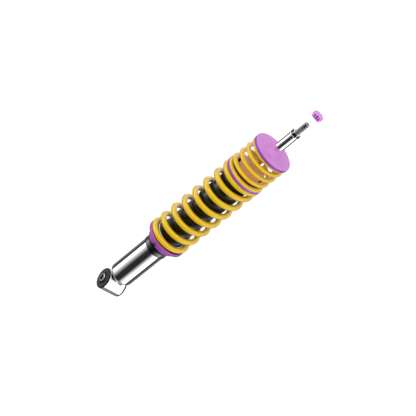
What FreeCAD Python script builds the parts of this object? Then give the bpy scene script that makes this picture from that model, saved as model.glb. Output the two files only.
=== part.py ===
"""Threaded-body coilover for a rear axle: damper, two springs, adjusters and the lower bush.

Millimetres. +Z runs up the damper's axis and the origin is the centre of the lower eye's bore,
which lies along X. The unit stands at full extension with its rebound adjuster knob lifted off.
"""
import FreeCAD, Part
import math
import os

Vector = FreeCAD.Vector
UP = Vector(0, 0, 1)
ALONG_X = Vector(1, 0, 0)
RUNNING_GAP = 0.05
FIXED_GAP = 0.02

# Lower eye and its bonded bush
EYE_R, EYE_LENGTH, EYE_WALL = 21.0, 39.0, 3.0
BUSH_SLEEVE_R, BUSH_SLEEVE_LENGTH = 8.5, 51.0
BOLT_HOLE_R = 5.2

# Damper body
TUBE_R, TUBE_WALL, TUBE_FILLET = 25.0, 3.0, 8.0
TUBE_BOTTOM_Z = 23.6
THREAD_START_Z = 126.5
TUBE_TOP_Z = 284.0
SLEEVE_SEAT_R = 24.0
THREAD_R, THREAD_PITCH, THREAD_DEPTH = 26.0, 2.0, 0.6
THREAD_RUNOUT = 9.0
CYLINDER_R, CYLINDER_WALL = 17.0, 2.0
GUIDE_Z = 262.0
CAP_R, CAP_THICKNESS = 25.8, 3.0

# Rod, piston and the parts stacked on the rod
ROD_R, ROD_SHOULDER_Z = 7.0, 405.0
SHANK_R, SHANK_TOP_Z = 5.0, 503.6
STUD_R, STUD_TOP_Z = 4.8, 528.0
PISTON_R, PISTON_Z, PISTON_HEIGHT = 14.9, 228.0, 15.0
SHIM_STACK = 3.0
NEEDLE_BORE_R = 2.1
STOP_WASHER_R, STOP_WASHER_THICKNESS = 13.0, 2.0
SPACER_R, SPACER_TOP_Z = 9.0, 495.0
NUT_ACROSS_FLATS, NUT_HEIGHT, NUT_EDGE_R = 17.0, 8.0, 1.8
WINDOW_Z, WINDOW_WIDTH, WINDOW_LENGTH, WINDOW_DEG = 519.0, 2.7, 8.0, 233.0

# Bump stop and dust tube
BUMP_R, BUMP_BOTTOM_Z = 24.8, 368.0
BUMP_NECK_R, BUMP_NOSE_R, BUMP_TOP_Z = 22.4, 16.5, 404.9
DUST_R, DUST_WALL, DUST_BOTTOM_Z, DUST_TOP_Z = 28.0, 1.4, 278.0, 374.0

# Springs: wire width and height, outer diameter, turns and start angle, then the closed turns
# and the gap between them at the bottom and at the top
MAIN = {
    "wire": (10.8, 10.8), "diameter": 83.8, "turns": 8.53, "start_deg": -37.5,
    "closed": (0.88, 1.24), "gap": (0.3, 1.8),
}
HELPER = {
    "wire": (9.8, 7.3), "diameter": 82.1, "turns": 4.73, "start_deg": 124.5,
    "closed": (0.75, 0.60), "gap": (0.3, 0.3),
}
MAIN_BOTTOM_Z, MAIN_TOP_Z = 163.6, 368.8
HELPER_BOTTOM_Z, HELPER_TOP_Z = 373.3, 437.0
POINTS_PER_TURN = 16

# Spring seats
PLATE_R, PLATE_TOP_Z, PLATE_BOSS_Z = 41.1, 443.2, 452.2
SPACER_RING_R, SPACER_COLLAR_TOP_Z = 41.5, 380.0
RING_R, RING_HUB_R, RING_HUB_Z, RING_RIM_Z = 41.6, 33.0, 146.0, 157.0
NOTCH_COUNT, NOTCH_WIDTH, NOTCH_DEPTH, NOTCH_HEIGHT = 6, 8.0, 3.5, 7.0
FIRST_NOTCH_DEG = 222.5
SEAT_COLLAR_R, SEAT_COLLAR_BORE, SEAT_COLLAR_Z = 30.4, 28.4, 171.8

# Rebound adjuster
KNOB_Z, KNOB_HEIGHT, KNOB_R, KNOB_LOBES = 547.1, 9.0, 10.5, 7
LOBE_R, KNOB_CORE_R, KNOB_BORE_DEPTH = 3.1, 8.2, 5.0
KNOB_SLOT_WIDTH, KNOB_SLOT_FLOOR_R, KNOB_SLOT_DEG = 2.2, 6.4, 235.5
KEY_ACROSS_FLATS = 2.4
SPINDLE_R, SPINDLE_TOP_Z = 2.0, 527.0

os.makedirs("parts", exist_ok=True)


def save(name, shape):
    """Write one finished sub-part."""
    shape.exportStep("parts/" + name + ".step")


def rod(radius, bottom, top, axis=UP):
    """A plain cylinder between two stations on an axis through the origin."""
    return Part.makeCylinder(radius, top - bottom, axis * bottom, axis)


def tube(outer, inner, bottom, top, axis=UP):
    """A plain sleeve between two stations on an axis through the origin."""
    return rod(outer, bottom, top, axis).cut(rod(inner, bottom - 1, top + 1, axis))


def rounded_edges(corners):
    """Edges of a closed outline of (x, z) or (x, z, radius) corners, with the radii as arcs."""
    points = [Vector(corner[0], 0, corner[1]) for corner in corners]
    ends = []
    edges = []
    for i, corner in enumerate(corners):
        here = points[i]
        back = (points[i - 1] - here).normalize()
        ahead = (points[(i + 1) % len(points)] - here).normalize()
        if len(corner) < 3:
            ends.append((here, here))
            continue
        half = back.getAngle(ahead) / 2
        trim = corner[2] / math.tan(half)
        middle = (back + ahead).normalize() * (corner[2] / math.sin(half) - corner[2])
        start, end = here + back * trim, here + ahead * trim
        edges.append(Part.Arc(start, here + middle, end).toShape())
        ends.append((start, end))
    for i, (start, end) in enumerate(ends):
        edges.append(Part.makeLine(ends[i - 1][1], start))
    return Part.__sortEdges__(edges)


def turned(corners, axis=UP):
    """A solid of revolution from a half section given as (radius, height) corners."""
    face = Part.Face(Part.Wire(rounded_edges(corners)))
    solid = face.revolve(Vector(0, 0, 0), UP, 360)
    if axis == ALONG_X:
        solid.rotate(Vector(0, 0, 0), Vector(0, 1, 0), 90)
    return solid


def hexagon(across_flats, bottom, top, flat_deg=0.0):
    """A hexagonal bar with one flat facing flat_deg."""
    reach = across_flats / math.sqrt(3)
    turns = [math.radians(flat_deg + 30 + 60 * side) for side in range(7)]
    outline = [Vector(reach * math.cos(a), reach * math.sin(a), bottom) for a in turns]
    return Part.Face(Part.makePolygon(outline)).extrude(UP * (top - bottom))


def hex_nut(across_flats, bore_r, bottom, top, flat_deg=0.0):
    """A hexagon nut with rounded corners, both faces chamfered and the bore countersunk on top."""
    corner_r = across_flats / math.sqrt(3)
    face_r, drop = across_flats / 2 * 0.97, (corner_r - across_flats / 2) * 0.6
    envelope = turned([
        (bore_r, bottom), (face_r, bottom), (corner_r, bottom + drop), (corner_r, top - drop),
        (face_r, top), (bore_r + 1, top), (bore_r, top - 1),
    ])
    bar = hexagon(across_flats, bottom, top, flat_deg)
    corners = [edge for edge in bar.Edges if edge.BoundBox.ZLength > (top - bottom) / 2]
    return bar.makeFillet(NUT_EDGE_R, corners).common(envelope)


def pocket(width, length, bottom, height, angle_deg):
    """A radial block from the axis outwards, used to cut slots and notches."""
    block = Part.makeBox(length, width, height, Vector(0, -width / 2, bottom))
    block.rotate(Vector(0, 0, 0), UP, angle_deg)
    return block


# Lower eye


def lower_eye():
    inner = EYE_R - EYE_WALL
    half = EYE_LENGTH / 2
    return turned([(inner, -half), (EYE_R, -half, 0.8), (EYE_R, half, 0.8), (inner, half)], ALONG_X)


def bush_rubber():
    inner = BUSH_SLEEVE_R + RUNNING_GAP
    outer = EYE_R - EYE_WALL - FIXED_GAP
    half = EYE_LENGTH / 2 + FIXED_GAP
    lip_r, end = EYE_R - 0.2, half + 2.2
    dish_r, dish = inner + 2.4, end - 1.4
    return turned([
        (inner, -dish), (dish_r, -dish, 0.6), (dish_r + 0.8, -end, 0.4), (lip_r, -end, 1.2),
        (lip_r, -half, 0.6), (outer, -half), (outer, half), (lip_r, half, 0.6),
        (lip_r, end, 1.2), (dish_r + 0.8, end, 0.4), (dish_r, dish, 0.6), (inner, dish),
    ], ALONG_X)


def bush_sleeve():
    half = BUSH_SLEEVE_LENGTH / 2
    return turned([
        (BOLT_HOLE_R, -half), (BUSH_SLEEVE_R, -half, 0.6),
        (BUSH_SLEEVE_R, half, 0.6), (BOLT_HOLE_R, half),
    ], ALONG_X)


def eye_weld():
    neck = turned([
        (0, 12), (16.5, 12), (13.5, TUBE_BOTTOM_Z - 3.5),
        (16.5, TUBE_BOTTOM_Z - FIXED_GAP), (0, TUBE_BOTTOM_Z - FIXED_GAP),
    ])
    return neck.cut(rod(EYE_R + FIXED_GAP, -40, 40, ALONG_X))


# Damper body


def body_tube():
    bore = TUBE_R - TUBE_WALL
    floor = TUBE_BOTTOM_Z + 4
    return turned([
        (0, TUBE_BOTTOM_Z), (TUBE_R, TUBE_BOTTOM_Z, TUBE_FILLET), (TUBE_R, THREAD_START_Z),
        (SLEEVE_SEAT_R, THREAD_START_Z), (SLEEVE_SEAT_R, TUBE_TOP_Z), (bore, TUBE_TOP_Z),
        (bore, floor, TUBE_FILLET - 3), (0, floor),
    ])


def threaded_sleeve():
    inner = SLEEVE_SEAT_R + FIXED_GAP
    bottom, top = THREAD_START_Z + FIXED_GAP, TUBE_TOP_Z
    root, crest = THREAD_R - THREAD_DEPTH, THREAD_R
    flank, floor = 0.25 * THREAD_PITCH, 0.3 * THREAD_PITCH
    outline = [(inner, bottom), (crest - 0.5, bottom), (crest, bottom + 0.5)]
    count = int((top - bottom - THREAD_RUNOUT) / THREAD_PITCH) - 1
    for turn in range(count):
        z = bottom + THREAD_RUNOUT + turn * THREAD_PITCH
        outline += [(crest, z), (root, z + flank), (root, z + flank + floor), (crest, z + 2 * flank + floor)]
    outline += [(crest, top - 0.5), (crest - 0.5, top), (inner, top)]
    return turned(outline)


def inner_cylinder():
    return tube(CYLINDER_R, CYLINDER_R - CYLINDER_WALL, TUBE_BOTTOM_Z + 14, GUIDE_Z)


def base_valve():
    bore = CYLINDER_R - CYLINDER_WALL
    floor, joint = TUBE_BOTTOM_Z + 4 + FIXED_GAP, TUBE_BOTTOM_Z + 14 - FIXED_GAP
    body = turned([
        (2, floor), (16, floor), (CYLINDER_R, floor + 3), (CYLINDER_R, joint),
        (bore - FIXED_GAP, joint), (bore - FIXED_GAP, joint + 6, 0.8), (2, joint + 6),
    ])
    for step in range(6):
        angle = math.radians(60 * step)
        port = Part.makeCylinder(1.5, 40, Vector(9 * math.cos(angle), 9 * math.sin(angle), 20), UP)
        body = body.cut(port)
    return body


def rod_guide():
    bore = ROD_R + 1.5
    wall = TUBE_R - TUBE_WALL - FIXED_GAP
    spigot = CYLINDER_R - CYLINDER_WALL - FIXED_GAP
    shelf = GUIDE_Z + FIXED_GAP
    return turned([
        (bore, GUIDE_Z - 3), (spigot, GUIDE_Z - 3, 0.6), (spigot, shelf), (wall, shelf),
        (wall, shelf + 14), (bore, shelf + 14),
    ])


def guide_bush():
    return tube(ROD_R + 1.5 - FIXED_GAP, ROD_R + RUNNING_GAP, GUIDE_Z - 2, GUIDE_Z + 12)


def rod_seal():
    wall = TUBE_R - TUBE_WALL - FIXED_GAP
    bottom = GUIDE_Z + 14 + 2 * FIXED_GAP
    top = TUBE_TOP_Z - 2
    lip = ROD_R + RUNNING_GAP
    return turned([
        (lip + 1, bottom), (wall, bottom), (wall, top), (lip + 2.5, top),
        (lip, top - 1.5), (lip, top - 2.3),
    ])


def end_cap():
    wall = TUBE_R - TUBE_WALL - FIXED_GAP
    under = TUBE_TOP_Z + FIXED_GAP
    top = under + CAP_THICKNESS
    bore = ROD_R + 0.6
    return turned([
        (bore, TUBE_TOP_Z - 1.9), (wall, TUBE_TOP_Z - 1.9), (wall, under),
        (CAP_R, under), (CAP_R, top, 1.0), (bore, top, 0.6),
    ])


# Rod assembly


def piston_rod():
    shoulder = PISTON_Z + PISTON_HEIGHT + SHIM_STACK
    stem_end = PISTON_Z - SHIM_STACK - 8
    body = turned([
        (NEEDLE_BORE_R, stem_end), (SHANK_R, stem_end, 0.6), (SHANK_R, shoulder),
        (ROD_R, shoulder, 0.5), (ROD_R, ROD_SHOULDER_Z, 0.5), (SHANK_R, ROD_SHOULDER_Z),
        (SHANK_R, SHANK_TOP_Z - 0.2), (STUD_R, SHANK_TOP_Z), (STUD_R, STUD_TOP_Z, 0.9),
        (NEEDLE_BORE_R, STUD_TOP_Z, 0.3),
    ])
    end_r = WINDOW_WIDTH / 2
    window = pocket(WINDOW_WIDTH, 2 * STUD_R, WINDOW_Z + end_r, WINDOW_LENGTH - 2 * end_r, WINDOW_DEG)
    for z in (WINDOW_Z + end_r, WINDOW_Z + WINDOW_LENGTH - end_r):
        end = Part.makeCylinder(end_r, 2 * STUD_R, Vector(0, 0, z), ALONG_X)
        end.rotate(Vector(0, 0, 0), UP, WINDOW_DEG)
        window = window.fuse(end)
    return body.cut(window)


def piston():
    top = PISTON_Z + PISTON_HEIGHT
    groove_r = PISTON_R - 1.2
    body = turned([
        (SHANK_R + FIXED_GAP, PISTON_Z), (PISTON_R, PISTON_Z, 0.6),
        (PISTON_R, PISTON_Z + 3), (groove_r, PISTON_Z + 3), (groove_r, top - 3),
        (PISTON_R, top - 3), (PISTON_R, top, 0.6), (SHANK_R + FIXED_GAP, top),
    ])
    for step in range(6):
        angle = math.radians(60 * step)
        foot = Vector(10 * math.cos(angle), 10 * math.sin(angle), PISTON_Z - 1)
        body = body.cut(Part.makeCylinder(1.6, PISTON_HEIGHT + 2, foot, UP))
    return body


def piston_band():
    bottom, top = PISTON_Z + 3 + FIXED_GAP, PISTON_Z + PISTON_HEIGHT - 3 - FIXED_GAP
    outer = CYLINDER_R - CYLINDER_WALL - RUNNING_GAP
    return tube(outer, PISTON_R - 1.2 + FIXED_GAP, bottom, top)


def valve_shims():
    """Two stacks of shims that shrink away from the piston, one on each face."""
    shims = []
    count = 5
    thickness = SHIM_STACK / count
    for shim in range(count):
        radius = 12.0 - 1.2 * shim
        above = PISTON_Z + PISTON_HEIGHT + shim * thickness
        below = PISTON_Z - (shim + 1) * thickness
        for z in (above, below):
            shims.append(tube(radius, SHANK_R + FIXED_GAP, z + FIXED_GAP, z + thickness - FIXED_GAP))
    return Part.makeCompound(shims)


def piston_nut():
    top = PISTON_Z - SHIM_STACK - FIXED_GAP
    return hex_nut(NUT_ACROSS_FLATS, SHANK_R + FIXED_GAP, top - 6, top)


def rebound_stop():
    bottom = PISTON_Z + PISTON_HEIGHT + SHIM_STACK + 1
    return turned([
        (ROD_R + FIXED_GAP, bottom), (12, bottom, 1.5), (12, bottom + 10, 1.5),
        (ROD_R + FIXED_GAP, bottom + 10),
    ])


def stop_washer():
    bottom = ROD_SHOULDER_Z + FIXED_GAP
    top = bottom + STOP_WASHER_THICKNESS
    bore = SHANK_R + FIXED_GAP
    return turned([
        (bore, bottom), (STOP_WASHER_R, bottom, 0.4), (STOP_WASHER_R, top, 0.4), (bore, top),
    ])


def spacer_sleeve():
    bottom = ROD_SHOULDER_Z + STOP_WASHER_THICKNESS + 2 * FIXED_GAP
    bore = SHANK_R + FIXED_GAP
    return turned([
        (bore, bottom), (SPACER_R, bottom, 0.5), (SPACER_R, SPACER_TOP_Z, 0.7), (bore, SPACER_TOP_Z),
    ])


def top_nut():
    bottom = SPACER_TOP_Z + FIXED_GAP
    return hex_nut(NUT_ACROSS_FLATS, SHANK_R + FIXED_GAP, bottom, bottom + NUT_HEIGHT, WINDOW_DEG)


def bump_stop():
    """Foam stop with a waist, a tapered top and a groove for the dust tube's lip."""
    bore = ROD_R + FIXED_GAP
    lip_z = DUST_TOP_Z - 3
    return turned([
        (bore, BUMP_BOTTOM_Z), (BUMP_NECK_R, BUMP_BOTTOM_Z, 1.5), (BUMP_NECK_R, lip_z + 3.2, 0.3),
        (BUMP_R, lip_z + 3.2, 0.8), (BUMP_R, 386, 2.0), (23.6, 388.5, 1.0), (23.6, 390.5, 1.0),
        (24.4, 393, 1.5), (23.4, 399, 2.5), (BUMP_NOSE_R, BUMP_TOP_Z, 2.5), (bore, BUMP_TOP_Z),
    ])


def dust_tube():
    inner = DUST_R - DUST_WALL
    lip_r, lip_z = BUMP_NECK_R + RUNNING_GAP, DUST_TOP_Z - 3
    return turned([
        (inner, DUST_BOTTOM_Z), (DUST_R, DUST_BOTTOM_Z, 0.4), (DUST_R, DUST_TOP_Z, 1.0),
        (lip_r, DUST_TOP_Z, 0.4), (lip_r, lip_z, 0.4), (inner, lip_z, 1.0),
    ])


# Springs and their seats


def soft_ramp(distance, blend):
    """Zero before the knee and the distance after it, rounded over the blend."""
    if distance <= -blend:
        return 0.0
    if distance >= blend:
        return distance
    return (distance + blend) ** 2 / (4 * blend)


def coil_spring(spring, bottom, top):
    """A right-hand coil spring with closed ends, ground flat on both seat planes."""
    width, height = spring["wire"]
    turns, coil_r = spring["turns"], (spring["diameter"] - width) / 2
    first, last = bottom - height / 4, top + height / 4
    pitch, end_pitch = height + spring["gap"][0], height + spring["gap"][1]
    knee, end_knee = spring["closed"][0], turns - spring["closed"][1]
    rise = last - first - pitch * knee - end_pitch * spring["closed"][1]
    open_pitch = rise / (end_knee - knee)
    steps = int(turns * POINTS_PER_TURN)
    points = []
    for step in range(steps + 1):
        turn = turns * step / steps
        angle = math.radians(spring["start_deg"]) + 2 * math.pi * turn
        z = first + pitch * turn + (open_pitch - pitch) * soft_ramp(turn - knee, 0.12)
        z += (end_pitch - open_pitch) * soft_ramp(turn - end_knee, 0.12)
        points.append(Vector(coil_r * math.cos(angle), coil_r * math.sin(angle), z))
    path = Part.BSplineCurve()
    path.interpolate(points)
    section = wire_section(points[0], path.tangent(path.FirstParameter)[0], width, height)
    coil = Part.Wire(path.toShape()).makePipeShell([section], True, True)
    reach = 2 * spring["diameter"]
    between = Part.makeBox(reach, reach, top - bottom, Vector(-reach / 2, -reach / 2, bottom))
    return coil.common(between)


def wire_section(centre, along, width, height):
    """Round or oval outline of a spring's wire, square to the coil, with its width radial."""
    outward = Vector(centre.x, centre.y, 0).normalize()
    upward = along.cross(outward).normalize()
    if upward.z < 0:
        upward = upward * -1
    if width == height:
        return Part.Wire(Part.Circle(centre, along, width / 2).toShape())
    oval = Part.Ellipse(centre + outward * (width / 2), centre + upward * (height / 2), centre)
    return Part.Wire(oval.toShape())


def main_spring():
    return coil_spring(MAIN, MAIN_BOTTOM_Z + FIXED_GAP, MAIN_TOP_Z - FIXED_GAP)


def helper_spring():
    return coil_spring(HELPER, HELPER_BOTTOM_Z + FIXED_GAP, HELPER_TOP_Z - FIXED_GAP)


def spring_bore_r(spring):
    """Radius of a collar that centres a spring by its bore."""
    return spring["diameter"] / 2 - spring["wire"][0] - 0.5


def top_plate():
    """Dished upper spring plate that slides on the spacer sleeve."""
    bore = SPACER_R + RUNNING_GAP
    under = HELPER_TOP_Z
    collar_r = spring_bore_r(HELPER)
    return turned([
        (bore, PLATE_BOSS_Z - 7), (12, PLATE_BOSS_Z - 9, 2), (17, under + 1, 3), (26, under, 2),
        (28, under, 0.5), (28, under - 5, 0.8), (collar_r, under - 5, 1.2), (collar_r, under, 0.5),
        (PLATE_R, under, 0.8), (PLATE_R, PLATE_TOP_Z, 1.2), (19.5, PLATE_TOP_Z + 0.8, 6),
        (bore + 1.5, PLATE_BOSS_Z, 0.7), (bore, PLATE_BOSS_Z),
    ])


def spacer_ring():
    """Flanged ring between the springs, with a locating collar on each face."""
    inner = DUST_R + 0.8
    lower_r, upper_r = spring_bore_r(MAIN), spring_bore_r(HELPER)
    return turned([
        (inner, MAIN_TOP_Z - 9, 0.5), (lower_r, MAIN_TOP_Z - 9, 0.8), (lower_r, MAIN_TOP_Z),
        (SPACER_RING_R, MAIN_TOP_Z, 1.2), (SPACER_RING_R, HELPER_BOTTOM_Z, 1.2),
        (upper_r, HELPER_BOTTOM_Z), (upper_r, SPACER_COLLAR_TOP_Z, 1.0),
        (inner, SPACER_COLLAR_TOP_Z, 0.5),
    ])


def seat_ring():
    """Slip ring that the main spring stands on while the adjuster ring turns below it."""
    flange = MAIN_BOTTOM_Z - 1.8
    return turned([
        (THREAD_R + 0.6, flange), (RING_R - 1.4, flange), (RING_R - 1.4, MAIN_BOTTOM_Z),
        (SEAT_COLLAR_R, MAIN_BOTTOM_Z), (SEAT_COLLAR_R, SEAT_COLLAR_Z, 1.2),
        (SEAT_COLLAR_BORE, SEAT_COLLAR_Z, 0.3), (SEAT_COLLAR_BORE, MAIN_BOTTOM_Z),
        (THREAD_R + 0.6, MAIN_BOTTOM_Z),
    ])


def adjuster_ring():
    """Threaded height adjuster with hook-spanner notches round its hub."""
    bore = THREAD_R + RUNNING_GAP
    recess = MAIN_BOTTOM_Z - 1.8 - RUNNING_GAP
    lip_z = MAIN_BOTTOM_Z - 0.6
    ring = turned([
        (bore, RING_HUB_Z, 0.6), (RING_HUB_R, RING_HUB_Z, 1.2), (RING_HUB_R, RING_RIM_Z - 1, 1.5),
        (RING_R, RING_RIM_Z, 1.4), (RING_R, lip_z, 0.6), (RING_R - 1.2, lip_z, 0.2),
        (RING_R - 1.2, recess), (bore, recess),
    ])
    for notch in range(NOTCH_COUNT):
        angle = FIRST_NOTCH_DEG + notch * 360 / NOTCH_COUNT
        cutter = pocket(NOTCH_WIDTH, RING_R, RING_HUB_Z - 1, NOTCH_HEIGHT + 1, angle)
        core = rod(RING_HUB_R - NOTCH_DEPTH, RING_HUB_Z - 2, RING_RIM_Z)
        ring = ring.cut(cutter.cut(core))
    return ring.cut(lock_screw_hole(2.5, RING_HUB_R))


def lock_screw_hole(radius, reach):
    """The radial hole, or its screw's blank, in the floor of the first notch."""
    start = THREAD_R - 1
    hole = Part.makeCylinder(radius, reach - start, Vector(start, 0, RING_HUB_Z + 4), ALONG_X)
    hole.rotate(Vector(0, 0, 0), UP, FIRST_NOTCH_DEG)
    return hole


def lock_screw():
    """Grub screw in the adjuster ring, with its tip clear of the thread."""
    floor = RING_HUB_R - NOTCH_DEPTH
    screw = lock_screw_hole(2.5 - FIXED_GAP, floor - 0.4)
    socket = hexagon(2.5, floor - 2.2, floor + 1)
    socket.rotate(Vector(0, 0, 0), Vector(0, 1, 0), 90)
    socket.translate(UP * (RING_HUB_Z + 4))
    socket.rotate(Vector(0, 0, 0), UP, FIRST_NOTCH_DEG)
    clear = rod(THREAD_R + 0.3, RING_HUB_Z - 2, RING_RIM_Z)
    return screw.cut(socket).cut(clear)


# Rebound adjuster


def adjuster_spindle():
    """Needle that runs down the hollow rod, with a hexagon socket for the knob's key."""
    tip = PISTON_Z - SHIM_STACK - 8
    needle = turned([(0, tip), (SPINDLE_R, tip + 8), (SPINDLE_R, SPINDLE_TOP_Z, 0.3), (0, SPINDLE_TOP_Z)])
    socket = hexagon(KEY_ACROSS_FLATS + 2 * RUNNING_GAP, SPINDLE_TOP_Z - 4.5, SPINDLE_TOP_Z + 1)
    return needle.cut(socket)


def adjuster_knob():
    """Lobed knob, slotted through one lobe, with a hexagon key in its blind bore."""
    top = KNOB_Z + KNOB_HEIGHT
    knob = turned([(0, KNOB_Z), (KNOB_CORE_R, KNOB_Z, 0.8), (KNOB_CORE_R, top, 1.2), (0, top)])
    reach = KNOB_R - LOBE_R
    for number in range(KNOB_LOBES):
        angle = math.radians(KNOB_SLOT_DEG + number * 360 / KNOB_LOBES)
        lobe = turned([(0, KNOB_Z), (LOBE_R, KNOB_Z, 0.8), (LOBE_R, top, 1.2), (0, top)])
        lobe.translate(Vector(reach * math.cos(angle), reach * math.sin(angle), 0))
        knob = knob.fuse(lobe)
    knob = knob.removeSplitter()
    slot = pocket(KNOB_SLOT_WIDTH, 2 * KNOB_R, KNOB_Z - 1, KNOB_HEIGHT + 2, KNOB_SLOT_DEG)
    knob = knob.cut(slot.cut(rod(KNOB_SLOT_FLOOR_R, KNOB_Z - 2, top + 2)))
    knob = knob.cut(rod(STUD_R + 0.2, KNOB_Z - 1, KNOB_Z + KNOB_BORE_DEPTH))
    key = hexagon(KEY_ACROSS_FLATS, KNOB_Z + 0.2, KNOB_Z + KNOB_BORE_DEPTH + 0.5)
    return knob.fuse(key)


SUB_PARTS = (
    lower_eye, bush_rubber, bush_sleeve, eye_weld, body_tube, threaded_sleeve, inner_cylinder,
    base_valve, rod_guide, guide_bush, rod_seal, end_cap, piston_rod, piston, piston_band,
    valve_shims, piston_nut, rebound_stop, stop_washer, spacer_sleeve, top_nut, bump_stop,
    dust_tube, main_spring, helper_spring, top_plate, spacer_ring, seat_ring, adjuster_ring,
    lock_screw, adjuster_spindle, adjuster_knob,
)

for build in SUB_PARTS:
    save(build.__name__, build())
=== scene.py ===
import math

import bmesh
import bpy
from mathutils import Matrix, Vector, noise


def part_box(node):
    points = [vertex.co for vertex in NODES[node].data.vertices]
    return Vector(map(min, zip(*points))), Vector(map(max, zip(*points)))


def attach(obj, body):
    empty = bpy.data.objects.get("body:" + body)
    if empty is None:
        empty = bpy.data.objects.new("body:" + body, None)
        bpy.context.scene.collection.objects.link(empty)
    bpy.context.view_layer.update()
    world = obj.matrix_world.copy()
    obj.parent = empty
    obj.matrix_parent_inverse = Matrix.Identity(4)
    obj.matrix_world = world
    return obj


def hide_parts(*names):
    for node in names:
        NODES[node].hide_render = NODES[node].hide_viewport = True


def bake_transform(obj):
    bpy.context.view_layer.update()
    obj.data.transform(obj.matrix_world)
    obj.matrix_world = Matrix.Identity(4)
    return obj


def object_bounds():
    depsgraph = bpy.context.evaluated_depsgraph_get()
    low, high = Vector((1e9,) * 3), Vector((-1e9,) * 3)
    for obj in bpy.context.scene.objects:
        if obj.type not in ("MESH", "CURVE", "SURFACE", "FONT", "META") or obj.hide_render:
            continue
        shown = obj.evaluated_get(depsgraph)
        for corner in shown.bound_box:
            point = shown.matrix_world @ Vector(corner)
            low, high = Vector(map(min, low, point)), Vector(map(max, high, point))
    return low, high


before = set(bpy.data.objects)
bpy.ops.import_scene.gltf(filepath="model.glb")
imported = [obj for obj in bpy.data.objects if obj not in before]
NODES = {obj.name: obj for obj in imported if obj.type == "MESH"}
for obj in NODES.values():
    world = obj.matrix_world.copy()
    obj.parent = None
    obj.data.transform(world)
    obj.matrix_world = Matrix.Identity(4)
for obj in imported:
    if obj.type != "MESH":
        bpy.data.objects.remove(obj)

MM = 0.001
CAD_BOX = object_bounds()

# View: where the camera stands round the object, and how far the axis leans in the picture
VIEW_AZIMUTH, VIEW_ELEVATION = math.radians(-37.5), math.radians(29.5)
VIEW_DISTANCE, LENS = 2.555, 121.0
AXIS_LEAN = math.radians(51.14)
AIM_HEIGHT, AIM_RIGHT = 0.268, 4.6 * MM
FLOOR_DROP = 0.15

# Springs: wire width and height, turns and start angle, then the closed turns and the gap
# between them at the bottom and at the top
MAIN = {
    "wire": (10.8 * MM, 10.8 * MM), "turns": 8.53, "start_deg": -37.5,
    "closed": (0.88, 1.24), "gap": (0.3 * MM, 1.8 * MM),
}
HELPER = {
    "wire": (9.8 * MM, 7.3 * MM), "turns": 4.73, "start_deg": 124.5,
    "closed": (0.75, 0.60), "gap": (0.3 * MM, 0.3 * MM),
}
COIL_STEPS = 40

# Knob: its slot, where the slot starts, and the radii of its valleys and lobes, which place its painted shade
# and highlight
KNOB_SLOT_DEG, KNOB_SLOT_WIDTH, KNOB_SLOT_START = 235.5, 2.2 * MM, 6.1 * MM
KNOB_VALLEY_R, KNOB_LOBE_R = 7.9 * MM, 9.6 * MM

# Thread on the stud, painted shade along the eye's far rim, and the recess in the bush rubber, painted dark as
# its shade
STUD_PITCH = 1.25 * MM
EYE_SHADE_RIM = 1.8 * MM
BUSH_DISH_SHADE_R = 10.9 * MM

# Ring between the springs: painted shade inside its collar. Seat ring: painted shade, black, in the middle,
# purple outside
SPACER_COLLAR_R = 31.0 * MM
SEAT_SHADE_R, SEAT_PURPLE_R = 32.0 * MM, 36.0 * MM

# Thread on the damper's sleeve
THREAD_PITCH, THREAD_DEPTH, THREAD_RUNOUT = 2.0 * MM, 0.6 * MM, 9.0 * MM
SLEEVE_WALL = 1.98 * MM
THREAD_SEGMENTS = 128


# Node writing


class Graph:
    """Writes a node tree: each call adds a node and returns one of its output sockets."""

    def __init__(self, tree):
        tree.nodes.clear()
        self.tree = tree

    def add(self, kind, values=None, output=0, **settings):
        node = self.tree.nodes.new(kind)
        for key, value in settings.items():
            setattr(node, key, value)
        for key, value in (values or {}).items():
            self.feed(node.inputs[key], value)
        return node.outputs[output] if node.outputs else node

    def feed(self, socket, value):
        if isinstance(value, bpy.types.NodeSocket):
            self.tree.links.new(value, socket)
        else:
            socket.default_value = value

    def math(self, operation, *values):
        return self.add("ShaderNodeMath", dict(enumerate(values)), operation=operation)

    def vector(self, operation, *values, output=0):
        return self.add("ShaderNodeVectorMath", dict(enumerate(values)), output, operation=operation)

    def rise(self, value, start, end, low=0.0, high=1.0):
        """Goes smoothly from low to high as value goes from start to end."""
        names = ("Value", "From Min", "From Max", "To Min", "To Max")
        values = dict(zip(names, (value, start, end, low, high)))
        return self.add("ShaderNodeMapRange", values, interpolation_type="SMOOTHSTEP")

    def band(self, value, start, full, fade, end):
        """One between full and fade, and nothing before start or after end."""
        return self.product(self.rise(value, start, full), self.rise(value, fade, end, 1.0, 0.0))

    def product(self, first, *others):
        for other in others:
            first = self.math("MULTIPLY", first, other)
        return first

    def largest(self, first, *others):
        for other in others:
            first = self.math("MAXIMUM", first, other)
        return first

    def span(self, first, second):
        """How far a place lies from an axis, given its two coordinates across that axis."""
        return self.math("SQRT", self.math("ADD", self.product(first, first), self.product(second, second)))

    def blend(self, factor, first, second):
        values = {0: factor, 6: first, 7: second}
        return self.add("ShaderNodeMix", values, 2, data_type="RGBA")

    def noise(self, place, scale, detail=2.0, roughness=0.5, output=0):
        values = {"Vector": place, "Scale": scale, "Detail": detail, "Roughness": roughness}
        return self.add("ShaderNodeTexNoise", values, output)

    def cells(self, place, scale, feature="F1"):
        values = {"Vector": place, "Scale": scale}
        return self.add("ShaderNodeTexVoronoi", values, feature=feature)

    def join(self, x=0.0, y=0.0, z=0.0):
        return self.add("ShaderNodeCombineXYZ", {0: x, 1: y, 2: z})

    def split(self, place):
        node = self.tree.nodes.new("ShaderNodeSeparateXYZ")
        self.tree.links.new(place, node.inputs[0])
        return node.outputs

    def bump(self, height, distance, strength=1.0, under=None):
        values = {"Height": height, "Distance": distance, "Strength": strength}
        if under is not None:
            values["Normal"] = under
        return self.add("ShaderNodeBump", values)


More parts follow.
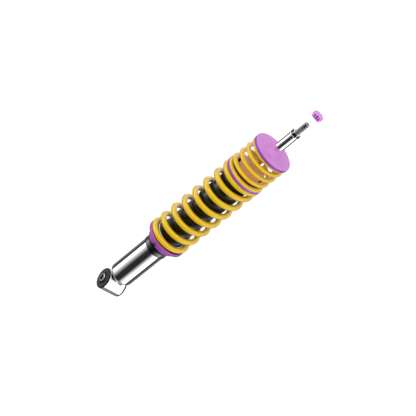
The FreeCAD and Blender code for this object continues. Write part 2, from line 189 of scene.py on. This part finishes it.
class Surface(Graph):
    """A material's node tree, with the object's own coordinates at hand."""

    def __init__(self, name):
        self.material = bpy.data.materials.new(name)
        self.material.use_nodes = True
        super().__init__(self.material.node_tree)
        self.place = self.add("ShaderNodeTexCoord", output="Object")
        x, y, self.height = self.split(self.place)
        self.angle = self.math("ARCTAN2", y, x)
        self.radius = self.span(x, y)

    def finish(self, color, roughness, metallic=0.0, normal=None, **more):
        values = {"Base Color": color, "Roughness": roughness, "Metallic": metallic}
        if normal is not None:
            values["Normal"] = normal
        for key, value in more.items():
            values[key.replace("_", " ").title().replace("Ior", "IOR")] = value
        shader = self.add("ShaderNodeBsdfPrincipled", values)
        self.add("ShaderNodeOutputMaterial", {"Surface": shader})
        return self.material

    def speckle(self, scale, detail, start, end, roughness=0.5):
        """Patches of noise, from nothing below start to one above end."""
        return self.rise(self.noise(self.place, scale, detail, roughness), start, end)

    def stain(self):
        return self.speckle(70.0, 5.0, 0.3, 0.8)

    def facing_up(self):
        return self.split(self.add("ShaderNodeTexCoord", output="Normal"))[2]

    def lathe_lines(self, lines_per_mm, distance):
        """Tool lines that run round both the walls and the faces of a turned part."""
        return self.turned(self.math("ADD", self.height, self.radius), lines_per_mm, distance)

    def turned(self, along, lines_per_mm, distance, under=None):
        """Fine grooves left by a lathe tool, spaced along the given coordinate."""
        spread = self.join(self.math("MULTIPLY", along, lines_per_mm * 1000), 0.0, 0.0)
        return self.bump(self.noise(spread, 1.0, 3.0, 0.6), distance, 1.0, under)


def rgb(red, green, blue):
    return (red, green, blue, 1.0)


def scaled(tone, share):
    return rgb(*(share * part for part in tone))


# Materials


def bright_plate(name, tone, haze, along_axis=True, rim=None):
    """Polished plating: a clear reflection with faint haze, hairlines and slow ripples, and painted shade past
    rim.
    """
    s = Surface(name)
    x, y, z = s.split(s.place)
    along = z if along_axis else x
    wrap = s.angle if along_axis else s.math("ARCTAN2", z, y)
    hairs = s.join(s.math("MULTIPLY", along, 2600.0), s.math("MULTIPLY", wrap, 1.4), 0.0)
    scratch = s.rise(s.noise(hairs, 1.0, 2.0), 0.60, 0.78)
    smudge = s.speckle(26.0, 4.0, 0.35, 0.75)
    color = s.blend(smudge, rgb(*tone), scaled(tone, 0.93))
    # Past rim the plating is painted near black: painted shade along the far end.
    if rim:
        color = s.blend(s.rise(along, rim, rim + 0.3 * MM), color, rgb(0.01, 0.01, 0.011))
    rough = s.math("ADD", s.math("MULTIPLY", smudge, haze), s.math("MULTIPLY", scratch, 0.10))
    rough = s.math("ADD", rough, 0.06)
    ripple = s.bump(s.noise(s.place, 45.0, 1.0), 0.08 * MM, 0.5)
    return s.finish(color, rough, 1.0, s.bump(scratch, 0.004 * MM, 0.6, ripple))


def machined_steel(name, tone, roughness, lines_per_mm=3.0):
    """Turned or ground steel with tool lines and slight staining."""
    s = Surface(name)
    stain = s.stain()
    color = s.blend(stain, rgb(*tone), scaled(tone, 0.78))
    rough = s.math("ADD", s.math("MULTIPLY", stain, 0.14), roughness)
    return s.finish(color, rough, 1.0, s.lathe_lines(lines_per_mm, 0.02 * MM))


def thread_steel():
    """Grey rolled thread with patches of grime, its roots painted near black as their shade."""
    s = Surface("thread_steel")
    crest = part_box("threaded_sleeve")[1].x
    depth = s.rise(s.radius, crest - THREAD_DEPTH, crest - 0.1 * MM)
    grime = s.speckle(120.0, 5.0, 0.35, 0.7, 0.65)
    worn = s.blend(grime, rgb(0.15, 0.15, 0.157), rgb(0.11, 0.11, 0.116))
    # Near-black roots: painted shade in the thread's grooves.
    color = s.blend(depth, rgb(0.022, 0.022, 0.024), worn)
    rough = s.math("ADD", s.math("MULTIPLY", grime, 0.08), 0.20)
    return s.finish(color, rough, 1.0, s.turned(s.height, 6.0, 0.01 * MM))


def zinc_plate(name, tone, roughness):
    """Bright zinc with the faint blue and straw patches of its passivation."""
    s = Surface(name)
    red, green, blue = tone
    cool = s.blend(s.speckle(140.0, 3.0, 0.4, 0.65), rgb(*tone), rgb(red * 0.9, green * 0.96, blue * 1.06))
    straw = rgb(red, green * 0.93, blue * 0.74)
    color = s.blend(s.speckle(90.0, 4.0, 0.55, 0.8), cool, straw)
    rough = s.rise(s.noise(s.place, 400.0, 4.0), 0.2, 0.8, roughness, 1.6 * roughness)
    return s.finish(color, rough, 1.0, s.bump(s.noise(s.place, 1500.0, 3.0), 0.012 * MM, 0.5))


def powder_coat():
    """Yellow powder coat over spring wire: thick, glossy, with orange peel and a few specks."""
    s = Surface("spring_yellow")
    tone = s.blend(s.speckle(55.0, 3.0, 0.3, 0.7), rgb(0.82, 0.520, 0.001), rgb(0.88, 0.560, 0.001))
    specks = s.rise(s.cells(s.place, 420.0), 0.05, 0.09, 1.0, 0.0)
    rare = s.speckle(60.0, 2.0, 0.62, 0.70)
    color = s.blend(s.product(specks, rare, 0.55), tone, rgb(0.30, 0.15, 0.01))
    rough = s.rise(s.noise(s.place, 300.0, 4.0), 0.25, 0.75, 0.26, 0.40)
    peel = s.bump(s.noise(s.place, 650.0, 2.0), 0.05 * MM, 0.55)
    fine = s.bump(s.noise(s.place, 2400.0, 2.0), 0.012 * MM, 0.4, peel)
    return s.finish(color, rough, 0.0, fine, coat_weight=1.0, coat_roughness=0.10, coat_ior=1.5,
                    specular_ior_level=0.1)


def anodised(name, tone, flank_shade, shade_collar_r=0.0):
    """Turned aluminium under a coloured anodic film, with painted shade on its flanks and inside the given
    collar radius.
    """
    s = Surface(name)
    red, green, blue = tone
    color = s.blend(s.speckle(38.0, 4.0, 0.3, 0.75), rgb(*tone), rgb(red * 0.88, green * 0.80, blue * 0.90))
    # Faces that do not face up get the flank colour: painted shade on the flanks and rim.
    color = s.blend(s.rise(s.facing_up(), 0.1, 0.75), rgb(*flank_shade), color)
    if shade_collar_r:
        # Inside the collar radius the colour turns near black: painted shade inside the collar.
        outside = s.rise(s.radius, shade_collar_r, shade_collar_r + 0.8 * MM)
        color = s.blend(outside, rgb(0.10, 0.02, 0.09), color)
    grain = s.noise(s.place, 1800.0, 3.0)
    rough = s.rise(grain, 0.2, 0.8, 0.37, 0.49)
    blast = s.bump(grain, 0.012 * MM, 0.5, s.lathe_lines(2.2, 0.035 * MM))
    return s.finish(color, rough, 0.12, blast)


def foam():
    """Microcellular bump-stop foam with open pores in its skin, painted darker inside as their shade."""
    s = Surface("bump_foam")
    mottle = s.speckle(80.0, 5.0, 0.3, 0.75, 0.6)
    pores = s.rise(s.cells(s.place, 900.0), 0.10, 0.42)
    color = s.blend(mottle, rgb(0.97, 0.58, 0.33), rgb(0.92, 0.51, 0.28))
    # The pores are painted darker: painted shade inside them.
    color = s.blend(pores, rgb(0.80, 0.38, 0.20), color)
    skin = s.bump(pores, 0.12 * MM, 0.7)
    soft = s.bump(s.noise(s.place, 260.0, 4.0), 0.10 * MM, 0.5, skin)
    return s.finish(color, s.rise(mottle, 0.0, 1.0, 0.62, 0.78), 0.0, soft, subsurface_weight=0.12,
                    subsurface_scale=1.5 * MM)


def knob_purple():
    """Bright anodised knob, blasted before its film, with a painted highlight on its lobes and painted shade in
    its valleys and slot.
    """
    s = Surface("knob_purple")
    x, y, _ = s.split(s.place)
    turn = math.radians(KNOB_SLOT_DEG)
    along = s.math("ADD", s.product(x, math.cos(turn)), s.product(y, math.sin(turn)))
    across = s.math("SUBTRACT", s.product(y, math.cos(turn)), s.product(x, math.sin(turn)))
    between = s.rise(s.math("ABSOLUTE", across), KNOB_SLOT_WIDTH * 0.51, KNOB_SLOT_WIDTH * 0.56, 1.0, 0.0)
    slot = s.product(between, s.rise(along, KNOB_SLOT_START, KNOB_SLOT_START + 0.2 * MM))
    # Sides: painted shade, deep violet, in the valleys and a painted highlight, bright magenta, on the lobes.
    side = s.blend(s.rise(s.radius, KNOB_VALLEY_R, KNOB_LOBE_R), rgb(0.30, 0.02, 0.40), rgb(0.90, 0.24, 0.92))
    top = s.blend(s.speckle(60.0, 4.0, 0.3, 0.75), rgb(0.58, 0.26, 0.66), rgb(0.52, 0.22, 0.60))
    color = s.blend(s.rise(s.facing_up(), 0.3, 0.8), side, top)
    # The slot is painted near black: painted shade in it.
    color = s.blend(slot, color, rgb(0.02, 0.0, 0.025))
    grain = s.noise(s.place, 1800.0, 3.0)
    rough = s.rise(grain, 0.2, 0.8, 0.22, 0.34)
    return s.finish(color, rough, 0.35, s.bump(grain, 0.012 * MM, 0.5))


def rod_steel():
    """Ground rod whose upper stud carries a fine rolled thread."""
    s = Surface("rod_steel")
    stain = s.stain()
    color = s.blend(stain, rgb(0.32, 0.32, 0.33), rgb(0.24, 0.24, 0.25))
    rough = s.math("ADD", s.math("MULTIPLY", stain, 0.14), 0.18)
    nut_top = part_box("top_nut")[1].z
    turns = s.math("ADD", s.math("MULTIPLY", s.height, 2 * math.pi / STUD_PITCH), s.angle)
    ridge = s.product(s.math("SINE", turns), s.rise(s.height, nut_top, nut_top + 1.0 * MM))
    thread = s.bump(ridge, 0.18 * MM, 0.8)
    return s.finish(color, rough, 1.0, s.turned(s.height, 4.0, 0.02 * MM, thread))


def bush_rubber():
    """Matt bush rubber, greyed by handling on its faces, with painted shade, near black, on its lip and in its
    recess.
    """
    s = Surface("bush_rubber")
    _, y, z = s.split(s.place)
    reach = s.span(y, z)
    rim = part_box("bush_rubber")[1].y
    lip = s.rise(reach, rim - 1.9 * MM, rim - 1.1 * MM)
    dust = s.speckle(120.0, 5.0, 0.3, 0.8, 0.65)
    face = s.blend(dust, rgb(0.046, 0.046, 0.049), rgb(0.062, 0.062, 0.065))
    # The lip is painted near black: painted shade along it.
    face = s.blend(lip, face, rgb(0.008, 0.008, 0.009))
    # Inside the recess radius the rubber is painted near black: painted shade in the recess.
    color = s.blend(s.rise(reach, BUSH_DISH_SHADE_R, BUSH_DISH_SHADE_R + 0.7 * MM), rgb(0.012, 0.011, 0.008), face)
    rough = s.math("ADD", s.math("MULTIPLY", dust, 0.12), 0.55)
    grain = s.bump(s.noise(s.place, 2000.0, 3.0, 0.6), 0.05 * MM, 0.6)
    return s.finish(color, rough, 0.0, grain, specular_ior_level=s.rise(lip, 0.0, 1.0, 0.15, 0.0))


def seat_steel():
    """Turned seat ring: bright on the collar's top edge, black below it as painted shade, purple where the
    spring stands.
    """
    s = Surface("seat_steel")
    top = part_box("seat_ring")[1].z
    edge = s.rise(s.height, top - 2.4 * MM, top - 1.6 * MM)
    stain = s.stain()
    bright = s.blend(stain, rgb(0.92, 0.92, 0.93), rgb(0.78, 0.78, 0.79))
    # Near black inside the shade radius is painted shade under the collar; the purple outside is the flange's
    # own colour.
    outside = s.rise(s.radius, SEAT_SHADE_R, SEAT_PURPLE_R)
    base = s.blend(outside, rgb(0.020, 0.018, 0.020), rgb(0.34, 0.06, 0.36))
    rough = s.math("ADD", s.math("MULTIPLY", stain, 0.14), s.rise(edge, 0.0, 1.0, 0.40, 0.14))
    metallic = s.rise(edge, 0.0, 1.0, 1.0, 0.6)
    return s.finish(s.blend(edge, base, bright), rough, metallic, s.lathe_lines(3.0, 0.02 * MM))


def moulded(name, tone, gloss, grain_size, grain_depth, reflectance=0.5):
    """Moulded plastic or rubber with a fine grain and handling marks."""
    s = Surface(name)
    dust = s.speckle(65.0, 5.0, 0.45, 0.85, 0.6)
    color = s.blend(dust, rgb(*tone), rgb(*(part * 1.5 + 0.006 for part in tone)))
    rough = s.math("ADD", s.math("MULTIPLY", dust, 0.14), gloss)
    grain = s.bump(s.noise(s.place, 1.0 / grain_size, 3.0, 0.6), grain_depth, 0.6)
    draw = s.join(s.math("MULTIPLY", s.angle, 26.0), 0.0, s.math("MULTIPLY", s.height, 6.0))
    relief = s.bump(s.noise(draw, 1.0, 2.0), 0.02 * MM, 0.35, grain)
    return s.finish(color, rough, 0.0, relief, specular_ior_level=reflectance)


def weld_metal():
    """Plated weld bead: painted shade, black on the camera's left and dull on its right, with bright metal in
    the middle.
    """
    s = Surface("weld_steel")
    heat = s.speckle(150.0, 4.0, 0.3, 0.7)
    x, y, _ = s.split(s.place)
    right = view_axes()[0]
    side = s.math("ADD", s.product(x, right.x), s.product(y, right.y))
    bright = s.blend(heat, rgb(0.62, 0.62, 0.63), rgb(0.46, 0.45, 0.45))
    # Painted shade set by the camera's side: black towards its left, darker grey towards its right.
    color = s.blend(s.rise(side, -3.0 * MM, 1.5 * MM), rgb(0.012, 0.011, 0.012), bright)
    color = s.blend(s.rise(side, 6.0 * MM, 9.0 * MM), color, rgb(0.07, 0.07, 0.073))
    grain = s.bump(s.noise(s.place, 700.0, 3.0), 0.05 * MM, 0.6)
    return s.finish(color, s.rise(heat, 0.0, 1.0, 0.22, 0.42), 1.0, grain)


def paint_nodes():
    """Gives every CAD node that stays visible its material."""
    chrome_tone = (0.95, 0.95, 0.955)
    purple_tone = (0.55, 0.20, 0.575)
    chrome = bright_plate("tube_chrome", chrome_tone, 0.05)
    plain = machined_steel("plain_steel", (0.45, 0.45, 0.46), 0.30)
    aluminium = machined_steel("aluminium", (0.70, 0.71, 0.72), 0.34, 2.0)
    zinc = zinc_plate("nut_steel", (0.74, 0.74, 0.76), 0.05)
    black_oxide = machined_steel("dark_steel", (0.035, 0.035, 0.038), 0.36)
    band = moulded("band_plastic", (0.20, 0.13, 0.07), 0.45, 0.4 * MM, 0.02 * MM)
    seal = moulded("seal_rubber", (0.020, 0.020, 0.021), 0.45, 0.3 * MM, 0.02 * MM)
    finishes = {
        "body_tube": chrome,
        # The eye's chrome carries painted shade past its rim.
        "lower_eye": bright_plate("eye_chrome", chrome_tone, 0.06, False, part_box("lower_eye")[1].x - EYE_SHADE_RIM),
        "spacer_sleeve": bright_plate("sleeve_chrome", chrome_tone, 0.03),
        "bush_rubber": bush_rubber(),
        "bush_sleeve": zinc_plate("bush_steel", (0.80, 0.74, 0.60), 0.2),
        "piston_rod": rod_steel(),
        "stop_washer": plain,
        "top_nut": zinc,
        "end_cap": plain,
        "inner_cylinder": plain,
        "valve_shims": plain,
        "piston_nut": plain,
        "base_valve": aluminium,
        "rod_guide": aluminium,
        "piston": aluminium,
        "guide_bush": band,
        "piston_band": band,
        "rod_seal": seal,
        "rebound_stop": seal,
        "bump_stop": foam(),
        "dust_tube": moulded("dust_plastic", (0.012, 0.012, 0.014), 0.20, 0.6 * MM, 0.006 * MM),
        # The second colour of each anodised part is the painted shade on its flanks.
        "top_plate": anodised("purple_anodise", purple_tone, (0.32, 0.06, 0.48)),
        "spacer_ring": anodised("spacer_anodise", (0.60, 0.21, 0.72), (0.31, 0.06, 0.53), SPACER_COLLAR_R),
        "adjuster_ring": anodised("ring_anodise", purple_tone, (0.43, 0.085, 0.45)),
        "seat_ring": seat_steel(),
        "lock_screw": black_oxide,
        "adjuster_spindle": black_oxide,
        "adjuster_knob": knob_purple(),
    }
    for node, material in finishes.items():
        dress(NODES[node], material)


def dress(piece, material):
    piece.data.materials.clear()
    piece.data.materials.append(material)


# Meshes


def make_piece(name, mesh, material=None):
    piece = bpy.data.objects.new(name, mesh)
    bpy.context.scene.collection.objects.link(piece)
    if material:
        dress(piece, material)
    return piece


def mesh_from(shape, name, sharp_angle=None):
    """Turns a bmesh into a smooth-shaded mesh, with the folds over sharp_angle kept sharp."""
    bmesh.ops.recalc_face_normals(shape, faces=shape.faces)
    mesh = bpy.data.meshes.new(name)
    shape.to_mesh(mesh)
    shape.free()
    mesh.shade_smooth()
    if sharp_angle:
        mesh.set_sharp_from_angle(angle=sharp_angle)
    return mesh


def ring(shape, radius, z, segments):
    steps = (2 * math.pi * step / segments for step in range(segments))
    return [shape.verts.new((radius * math.cos(a), radius * math.sin(a), z)) for a in steps]


def bridge(shape, lower, upper):
    for i in range(len(lower)):
        after = (i + 1) % len(lower)
        shape.faces.new((lower[i], lower[after], upper[after], upper[i]))


def threaded_sleeve():
    """The body's outer sleeve with a true helical thread that fades out at both ends."""
    low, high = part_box("threaded_sleeve")
    crest, wall, chamfer = high.x, high.x - SLEEVE_WALL, 0.5 * MM
    start, end = low.z + THREAD_RUNOUT, high.z - 2 * MM
    profile = ((0.0, 0.0), (0.25, 1.0), (0.55, 1.0), (0.80, 0.0))
    shape = bmesh.new()
    rows = []
    for turn in range(-2, int((end - start) / THREAD_PITCH) + 3):
        for share, depth in profile:
            row = []
            for step in range(THREAD_SEGMENTS):
                angle = 2 * math.pi * step / THREAD_SEGMENTS
                z = start + THREAD_PITCH * (turn + share + step / THREAD_SEGMENTS)
                fade = min(1.0, max(0.0, min(z - start, end - z) / THREAD_PITCH))
                radius = crest - THREAD_DEPTH * depth * fade
                place = (radius * math.cos(angle), radius * math.sin(angle), min(end, max(start, z)))
                row.append(shape.verts.new(place))
            rows.append(row)
    for i in range(len(rows) - len(profile) - 1):
        for step in range(THREAD_SEGMENTS - 1):
            shape.faces.new((rows[i][step], rows[i][step + 1], rows[i + 1][step + 1], rows[i + 1][step]))
        over = i + len(profile)
        shape.faces.new((rows[i][-1], rows[over][0], rows[over + 1][0], rows[i + 1][-1]))
    outline = (
        (crest, start), (crest, low.z + chamfer), (crest - chamfer, low.z), (wall, low.z),
        (wall, high.z), (crest - chamfer, high.z), (crest, high.z - chamfer), (crest, end),
    )
    bands = [ring(shape, radius, z, THREAD_SEGMENTS) for radius, z in outline]
    for lower, upper in zip(bands, bands[1:]):
        bridge(shape, lower, upper)
    bmesh.ops.remove_doubles(shape, verts=shape.verts, dist=1e-6)
    loose = [vert for vert in shape.verts if not vert.link_faces]
    bmesh.ops.delete(shape, geom=loose, context="VERTS")
    piece = make_piece("thread_sleeve", mesh_from(shape, "thread_sleeve", math.radians(25)), thread_steel())
    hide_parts("threaded_sleeve")
    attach(piece, "damper_body")


def soft_ramp(distance, blend):
    """Zero before the knee and the distance after it, rounded over the blend."""
    if distance <= -blend:
        return 0.0
    if distance >= blend:
        return distance
    return (distance + blend) ** 2 / (4 * blend)


def coil_line(name, low, high, coil):
    """The centreline of a closed-end spring, as a mesh of points and edges."""
    width, height = coil["wire"]
    turns = coil["turns"]
    first, last = low.z - height / 4, high.z + height / 4
    pitch, end_pitch = height + coil["gap"][0], height + coil["gap"][1]
    knee, end_knee = coil["closed"][0], turns - coil["closed"][1]
    rise = last - first - pitch * knee - end_pitch * coil["closed"][1]
    open_pitch = rise / (end_knee - knee)
    radius = (high.x - low.x - width) / 2
    count = int(turns * COIL_STEPS)
    points = []
    for step in range(count + 1):
        turn = turns * step / count
        angle = math.radians(coil["start_deg"]) + 2 * math.pi * turn
        z = first + pitch * turn + (open_pitch - pitch) * soft_ramp(turn - knee, 0.12)
        z += (end_pitch - open_pitch) * soft_ramp(turn - end_knee, 0.12)
        points.append((radius * math.cos(angle), radius * math.sin(angle), z))
    mesh = bpy.data.meshes.new(name)
    mesh.from_pydata(points, [(i, i + 1) for i in range(count)], [])
    return mesh


def wire_nodes(name, width, wire, material):
    """Nodes that turn a coil's centreline into wire of a width and height, ground flat at both ends."""
    tree = bpy.data.node_groups.new(name, "GeometryNodeTree")
    for way in ("INPUT", "OUTPUT"):
        tree.interface.new_socket("Geometry", in_out=way, socket_type="NodeSocketGeometry")
    g = Graph(tree)
    line = g.add("NodeGroupInput")
    height = g.split(g.add("GeometryNodeInputPosition"))[2]
    lowest = g.add("GeometryNodeAttributeStatistic", {"Geometry": line, 2: height}, "Min")
    highest = g.add("GeometryNodeAttributeStatistic", {"Geometry": line, 2: height}, "Max")
    kept = g.add("GeometryNodeStoreNamedAttribute",
                 {"Geometry": line, "Name": "centre", "Value": g.add("GeometryNodeInputPosition")},
                 data_type="FLOAT_VECTOR", domain="POINT")
    circle = g.add("GeometryNodeCurvePrimitiveCircle", {"Resolution": 28, "Radius": wire / 2})
    curve = g.add("GeometryNodeMeshToCurve", {"Mesh": kept})
    tube = g.add("GeometryNodeCurveToMesh", {"Curve": curve, "Profile Curve": circle, "Fill Caps": True})
    centre = g.add("GeometryNodeInputNamedAttribute", {"Name": "centre"}, data_type="FLOAT_VECTOR")
    middle = g.split(centre)[2]
    here = g.split(g.add("GeometryNodeInputPosition"))[2]
    ground = g.math("MAXIMUM", here, g.math("ADD", lowest, wire / 4))
    ground = g.math("MINIMUM", ground, g.math("SUBTRACT", highest, wire / 4))
    rise = g.math("SUBTRACT", ground, middle)
    chord = g.math("SUBTRACT", (wire / 2) ** 2, g.math("MULTIPLY", rise, rise))
    chord = g.math("SQRT", g.math("MAXIMUM", chord, 0.0))
    offset = g.vector("SUBTRACT", g.add("GeometryNodeInputPosition"), centre)
    flat = g.vector("MULTIPLY", offset, (1.0, 1.0, 0.0))
    reach = g.math("MAXIMUM", g.vector("LENGTH", flat, output="Value"), 1e-7)
    share = g.math("MULTIPLY", g.math("MINIMUM", g.math("DIVIDE", chord, reach), 1.0), width / wire)
    aside = g.add("ShaderNodeVectorMath", {0: flat, "Scale": share}, operation="SCALE")
    level_centre = g.vector("MULTIPLY", centre, (1.0, 1.0, 0.0))
    spot = g.vector("ADD", level_centre, g.vector("ADD", aside, g.join(z=ground)))
    shaped = g.add("GeometryNodeSetPosition", {"Geometry": tube, "Position": spot})
    tilt = g.math("ABSOLUTE", g.split(g.add("GeometryNodeInputNormal"))[2])
    level = g.add("FunctionNodeCompare", {0: tilt, 1: 0.9999}, operation="LESS_THAN")
    smooth = g.add("GeometryNodeSetShadeSmooth", {"Geometry": shaped, "Shade Smooth": level})
    clean = g.add("GeometryNodeRemoveAttribute", {"Geometry": smooth, "Name": "centre"})
    painted = g.add("GeometryNodeSetMaterial", {"Geometry": clean, "Material": material})
    g.add("NodeGroupOutput", {"Geometry": painted})
    return tree


def spring(name, node, coil, material):
    """A coil spring in the place of the CAD spring, whose wire keeps its section and whose end coils are
    closed.
    """
    low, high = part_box(node)
    width, height = coil["wire"]
    piece = make_piece(name, coil_line(name, low, high, coil))
    piece.modifiers.new("wire", "NODES").node_group = wire_nodes(name, width, height, material)
    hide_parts(node)
    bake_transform(piece)


def eye_weld():
    """The fillet weld that joins the body's floor to the eye, with its ripples."""
    eye_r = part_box("lower_eye")[1].y
    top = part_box("body_tube")[0].z
    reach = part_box("eye_weld")[1].x
    around, down = 144, 10
    shape = bmesh.new()
    rows = []
    for level in range(down + 1):
        share = level / down
        row = []
        for step in range(around):
            angle = 2 * math.pi * step / around
            ripple = 0.22 * MM * math.sin(30 * angle + 2.0 * math.sin(3 * angle)) * math.sin(math.pi * share)
            wander = 0.5 * MM * noise.noise(Vector((2 * math.cos(angle), 2 * math.sin(angle), share)))
            foot = reach + 0.6 * MM
            y = foot * math.sin(angle)
            floor = math.sqrt(eye_r ** 2 - min(abs(y), 0.97 * eye_r) ** 2) - 0.1 * MM
            z = top + (floor - top) * share
            waist = 2.6 * MM * math.sin(math.pi * share) * (top - floor) / (8 * MM)
            radius = foot - waist + ripple + wander * math.sin(math.pi * share)
            row.append(shape.verts.new((radius * math.cos(angle), radius * math.sin(angle), z)))
        rows.append(row)
    for lower, upper in zip(rows, rows[1:]):
        bridge(shape, lower, upper)
    shape.faces.new(rows[0])
    bottom = shape.faces.new(rows[-1])
    bmesh.ops.triangulate(shape, faces=[bottom])
    piece = make_piece("weld_bead", mesh_from(shape, "weld_bead", math.radians(50)), weld_metal())
    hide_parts("eye_weld")
    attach(piece, "damper_body")


# Stage


def view_axes():
    """The camera's level right, its up and the way back to the camera, before it leans."""
    right = Vector((math.cos(VIEW_AZIMUTH), math.sin(VIEW_AZIMUTH), 0))
    flat = Vector((math.sin(VIEW_AZIMUTH), -math.cos(VIEW_AZIMUTH), 0))
    toward = flat * math.cos(VIEW_ELEVATION) + Vector((0, 0, math.sin(VIEW_ELEVATION)))
    return right, toward.cross(right), toward, flat


def add_camera():
    right, up, toward, _ = view_axes()
    across = right * math.cos(AXIS_LEAN) + up * math.sin(AXIS_LEAN)
    upward = up * math.cos(AXIS_LEAN) - right * math.sin(AXIS_LEAN)
    aim = Vector((0, 0, AIM_HEIGHT)) + right * AIM_RIGHT
    camera = bpy.data.objects.new("camera", bpy.data.cameras.new("camera"))
    turn = Matrix((across, upward, toward)).transposed().to_4x4()
    camera.matrix_world = Matrix.Translation(aim + toward * VIEW_DISTANCE) @ turn
    camera.data.lens = LENS
    camera.data.clip_end = 50.0
    bpy.context.scene.collection.objects.link(camera)
    bpy.context.scene.camera = camera


def studio():
    """A white studio: even for matt surfaces, with dark flags and bright boxes for shiny ones.

    Bearings are in degrees from the front, and heights run from -1 below to 1 above."""
    right, _, _, flat = view_axes()
    world = bpy.data.worlds.new("studio")
    bpy.context.scene.world = world
    world.use_nodes = True
    g = Graph(world.node_tree)
    way = g.add("ShaderNodeTexCoord", output="Generated")
    height = g.split(way)[2]
    side = g.vector("DOT_PRODUCT", way, tuple(right), output="Value")
    front = g.vector("DOT_PRODUCT", way, tuple(flat), output="Value")
    bearing = g.math("MULTIPLY", g.math("ARCTAN2", side, front), 180 / math.pi)
    aside = g.math("ABSOLUTE", bearing)
    front_flag = g.product(g.band(bearing, -82.0, -14.0, 19.0, 64.0), g.rise(height, 0.6, 0.85, 1.0, 0.0))
    back_flag = g.product(
        g.rise(aside, 88.0, 98.0, 0.0, 0.98), g.rise(aside, 112.0, 150.0, 1.0, 0.8),
        g.rise(height, -0.38, -0.30, 1.0, 0.0), g.rise(height, -0.86, -0.72, 0.85, 1.0),
    )
    rear_flag = g.product(g.band(aside, 122.0, 134.0, 146.0, 164.0), g.band(height, -0.38, -0.30, 0.0, 0.15))
    rear_flag = g.product(0.92, rear_flag)
    floor_flag = g.product(g.rise(height, -0.70, -0.58, 1.0, 0.0), g.rise(height, -0.84, -0.74, 0.84, 0.95))
    side_box = g.product(g.band(aside, 58.0, 74.0, 98.0, 108.0), g.rise(height, 0.0, 0.55, 1.0, 0.0))
    top_box = g.product(g.rise(height, 0.72, 0.86), g.rise(aside, 90.0, 130.0, 1.0, 0.2))
    dark = g.largest(front_flag, back_flag, rear_flag, floor_flag)
    boxes = g.product(1.3, g.largest(side_box, top_box))
    shine = g.product(g.math("SUBTRACT", 1.0, g.product(0.98, dark)), g.math("ADD", boxes, 1.18))
    soft = g.math("SUBTRACT", g.rise(height, -0.9, 0.3, 0.55, 1.04), g.product(0.10, dark))
    path = g.tree.nodes.new("ShaderNodeLightPath").outputs
    level = g.add("ShaderNodeMix", {0: path["Is Glossy Ray"], 2: soft, 3: shine}, data_type="FLOAT")
    white = g.math("MAXIMUM", level, path["Is Camera Ray"])
    glow = g.add("ShaderNodeBackground", {"Color": rgb(1, 1, 1), "Strength": white})
    g.add("ShaderNodeOutputWorld", {"Surface": glow})


def add_floor():
    """A plain pale floor, left out of reflections so that only the studio shows in them."""
    shape = bmesh.new()
    bmesh.ops.create_grid(shape, x_segments=8, y_segments=8, size=6.0)
    floor = make_piece("floor", mesh_from(shape, "floor"))
    floor.location.z = CAD_BOX[0][2] - FLOOR_DROP
    s = Surface("floor_paint")
    tone = s.rise(s.noise(s.place, 3.0, 2.0), 0.3, 0.7, 0.90, 0.93)
    dress(floor, s.finish(s.join(tone, tone, tone), 0.9, emission_color=rgb(1, 1, 1), emission_strength=0.12))
    floor.visible_glossy = False
    floor.visible_diffuse = False


def add_key_light():
    """A large soft lamp above the camera's left shoulder."""
    right, _, _, flat = view_axes()
    data = bpy.data.lights.new("key", "AREA")
    data.shape, data.size, data.energy = "DISK", 1.6, 12.0
    light = bpy.data.objects.new("key", data)
    light.location = flat * 1.2 - right * 1.4 + Vector((0, 0, 2.4))
    aim = Vector((0, 0, AIM_HEIGHT)) - light.location
    light.rotation_euler = aim.to_track_quat("-Z", "Y").to_euler()
    light.visible_glossy = False
    bpy.context.scene.collection.objects.link(light)


paint_nodes()
threaded_sleeve()
coat = powder_coat()
spring("main_coil", "main_spring", MAIN, coat)
spring("helper_coil", "helper_spring", HELPER, coat)
eye_weld()
add_camera()
studio()
add_floor()
add_key_light()
bpy.context.scene.view_settings.view_transform = "Standard"
